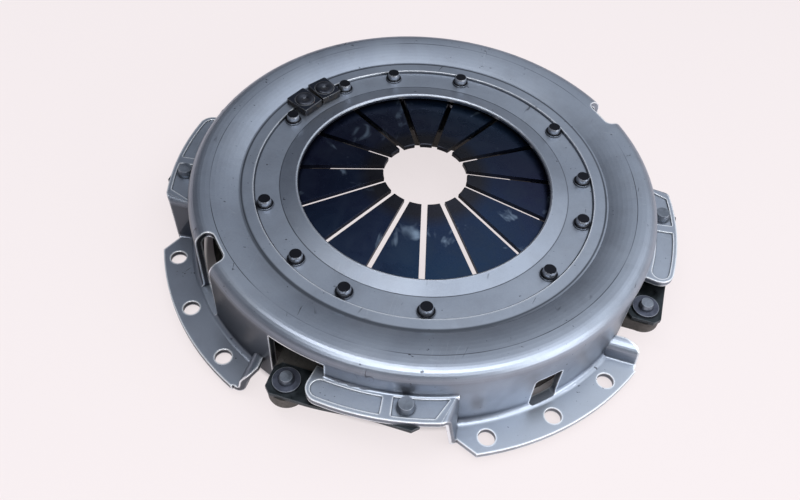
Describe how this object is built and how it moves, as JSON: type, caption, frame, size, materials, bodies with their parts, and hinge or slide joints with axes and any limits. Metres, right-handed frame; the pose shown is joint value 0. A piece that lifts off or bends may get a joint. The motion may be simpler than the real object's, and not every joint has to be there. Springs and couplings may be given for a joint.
{
  "type": "clutch pressure plate",
  "caption": "Push-type diaphragm clutch cover: pressed cover with bolting flange and drive straps, sliding cast pressure plate, fingered diaphragm spring and stud rivets.",
  "frame": {"origin": "centre of the bolting flange's mounting face", "axes": "+Z along the clutch axis away from the flywheel, towards the release bearing; the flange segments' middles lie at 45, 135, 225 and 315 degrees from +X"},
  "size_m": [0.359, 0.359, 0.066],
  "materials": {
    "cover_steel": "satin pressed sheet steel",
    "plate_iron": "machined and cast grey iron",
    "ring_wire": "dark drawn wire",
    "stud_steel": "black oxide",
    "spring_steel": "oiled blue-black spring steel",
    "strap_steel": "blued spring strip",
    "strap_rivet": "satin",
    "washer_steel": "dark phosphate",
    "weight_steel": "black",
    "weight_rivet": "dark satin"
  },
  "bodies": {
    "cover": {"cover": "cover_steel", "fulcrum_ring_upper": "ring_wire", "fulcrum_ring_lower": "ring_wire", "stud_rivets": "stud_steel", "drive_strap_1": "strap_steel", "drive_strap_2": "strap_steel", "drive_strap_3": "strap_steel", "drive_strap_4": "strap_steel", "strap_cover_rivets": "strap_rivet", "balance_weight_1": "weight_steel", "balance_weight_2": "weight_steel", "balance_rivets": "weight_rivet"},
    "pressure_plate": {"pressure_plate": "plate_iron", "strap_plate_rivets": "strap_rivet", "strap_washers": "washer_steel"},
    "finger_01": {"finger_01": "spring_steel"},
    "finger_02": {"finger_02": "spring_steel"},
    "finger_03": {"finger_03": "spring_steel"},
    "finger_04": {"finger_04": "spring_steel"},
    "finger_05": {"finger_05": "spring_steel"},
    "finger_06": {"finger_06": "spring_steel"},
    "finger_07": {"finger_07": "spring_steel"},
    "finger_08": {"finger_08": "spring_steel"},
    "finger_09": {"finger_09": "spring_steel"},
    "finger_10": {"finger_10": "spring_steel"},
    "finger_11": {"finger_11": "spring_steel"},
    "finger_12": {"finger_12": "spring_steel"},
    "finger_13": {"finger_13": "spring_steel"},
    "finger_14": {"finger_14": "spring_steel"},
    "finger_15": {"finger_15": "spring_steel"}
  },
  "joints": [
    {"name": "plate_lift", "type": "slide", "parent": "cover", "child": "pressure_plate", "axis": [0, 0, 1], "range_m": [0, 0.006], "stiffness_N_per_m": 100000, "springref_m": -0.002, "deforming": ["drive_strap_1", "drive_strap_2", "drive_strap_3", "drive_strap_4"]},
    {"name": "finger_01_tilt", "type": "hinge", "parent": "cover", "child": "finger_01", "pos_m": [0.1166, 0.01878, 0.04063], "axis": [0.159, -0.9873, 0], "range_deg": [0, 18]},
    {"name": "finger_02_tilt", "type": "hinge", "parent": "cover", "child": "finger_02", "pos_m": [0.09888, 0.06458, 0.04063], "axis": [0.5468, -0.8372, 0], "range_deg": [0, 18]},
    {"name": "finger_03_tilt", "type": "hinge", "parent": "cover", "child": "finger_03", "pos_m": [0.06406, 0.09921, 0.04063], "axis": [0.8401, -0.5424, 0], "range_deg": [0, 18]},
    {"name": "finger_04_tilt", "type": "hinge", "parent": "cover", "child": "finger_04", "pos_m": [0.01817, 0.11669, 0.04063], "axis": [0.9881, -0.1538, 0], "range_deg": [0, 18]},
    {"name": "finger_05_tilt", "type": "hinge", "parent": "cover", "child": "finger_05", "pos_m": [-0.03087, 0.114, 0.04063], "axis": [0.9652, 0.2613, 0], "range_deg": [0, 18]},
    {"name": "finger_06_tilt", "type": "hinge", "parent": "cover", "child": "finger_06", "pos_m": [-0.07456, 0.09159, 0.04063], "axis": [0.7755, 0.6314, 0], "range_deg": [0, 18]},
    {"name": "finger_07_tilt", "type": "hinge", "parent": "cover", "child": "finger_07", "pos_m": [-0.10537, 0.05334, 0.04063], "axis": [0.4517, 0.8922, 0], "range_deg": [0, 18]},
    {"name": "finger_08_tilt", "type": "hinge", "parent": "cover", "child": "finger_08", "pos_m": [-0.11795, 0.00587, 0.04063], "axis": [0.0497, 0.9988, 0], "range_deg": [0, 18]},
    {"name": "finger_09_tilt", "type": "hinge", "parent": "cover", "child": "finger_09", "pos_m": [-0.11014, -0.04261, 0.04063], "axis": [-0.3608, 0.9326, 0], "range_deg": [0, 18]},
    {"name": "finger_10_tilt", "type": "hinge", "parent": "cover", "child": "finger_10", "pos_m": [-0.08329, -0.08373, 0.04063], "axis": [-0.709, 0.7053, 0], "range_deg": [0, 18]},
    {"name": "finger_11_tilt", "type": "hinge", "parent": "cover", "child": "finger_11", "pos_m": [-0.04203, -0.11037, 0.04063], "axis": [-0.9345, 0.3559, 0], "range_deg": [0, 18]},
    {"name": "finger_12_tilt", "type": "hinge", "parent": "cover", "child": "finger_12", "pos_m": [0.00649, -0.11792, 0.04063], "axis": [-0.9985, -0.055, 0], "range_deg": [0, 18]},
    {"name": "finger_13_tilt", "type": "hinge", "parent": "cover", "child": "finger_13", "pos_m": [0.05389, -0.10509, 0.04063], "axis": [-0.8898, -0.4563, 0], "range_deg": [0, 18]},
    {"name": "finger_14_tilt", "type": "hinge", "parent": "cover", "child": "finger_14", "pos_m": [0.09198, -0.07408, 0.04063], "axis": [-0.6273, -0.7788, 0], "range_deg": [0, 18]},
    {"name": "finger_15_tilt", "type": "hinge", "parent": "cover", "child": "finger_15", "pos_m": [0.11416, -0.03027, 0.04063], "axis": [-0.2563, -0.9666, 0], "range_deg": [0, 18]}
  ],
  "couplings": [
    {"joint": "finger_01_tilt", "follows": "plate_lift", "rad_per_m": 52},
    {"joint": "finger_02_tilt", "follows": "plate_lift", "rad_per_m": 52},
    {"joint": "finger_03_tilt", "follows": "plate_lift", "rad_per_m": 52},
    {"joint": "finger_04_tilt", "follows": "plate_lift", "rad_per_m": 52},
    {"joint": "finger_05_tilt", "follows": "plate_lift", "rad_per_m": 52},
    {"joint": "finger_06_tilt", "follows": "plate_lift", "rad_per_m": 52},
    {"joint": "finger_07_tilt", "follows": "plate_lift", "rad_per_m": 52},
    {"joint": "finger_08_tilt", "follows": "plate_lift", "rad_per_m": 52},
    {"joint": "finger_09_tilt", "follows": "plate_lift", "rad_per_m": 52},
    {"joint": "finger_10_tilt", "follows": "plate_lift", "rad_per_m": 52},
    {"joint": "finger_11_tilt", "follows": "plate_lift", "rad_per_m": 52},
    {"joint": "finger_12_tilt", "follows": "plate_lift", "rad_per_m": 52},
    {"joint": "finger_13_tilt", "follows": "plate_lift", "rad_per_m": 52},
    {"joint": "finger_14_tilt", "follows": "plate_lift", "rad_per_m": 52},
    {"joint": "finger_15_tilt", "follows": "plate_lift", "rad_per_m": 52}
  ]
}
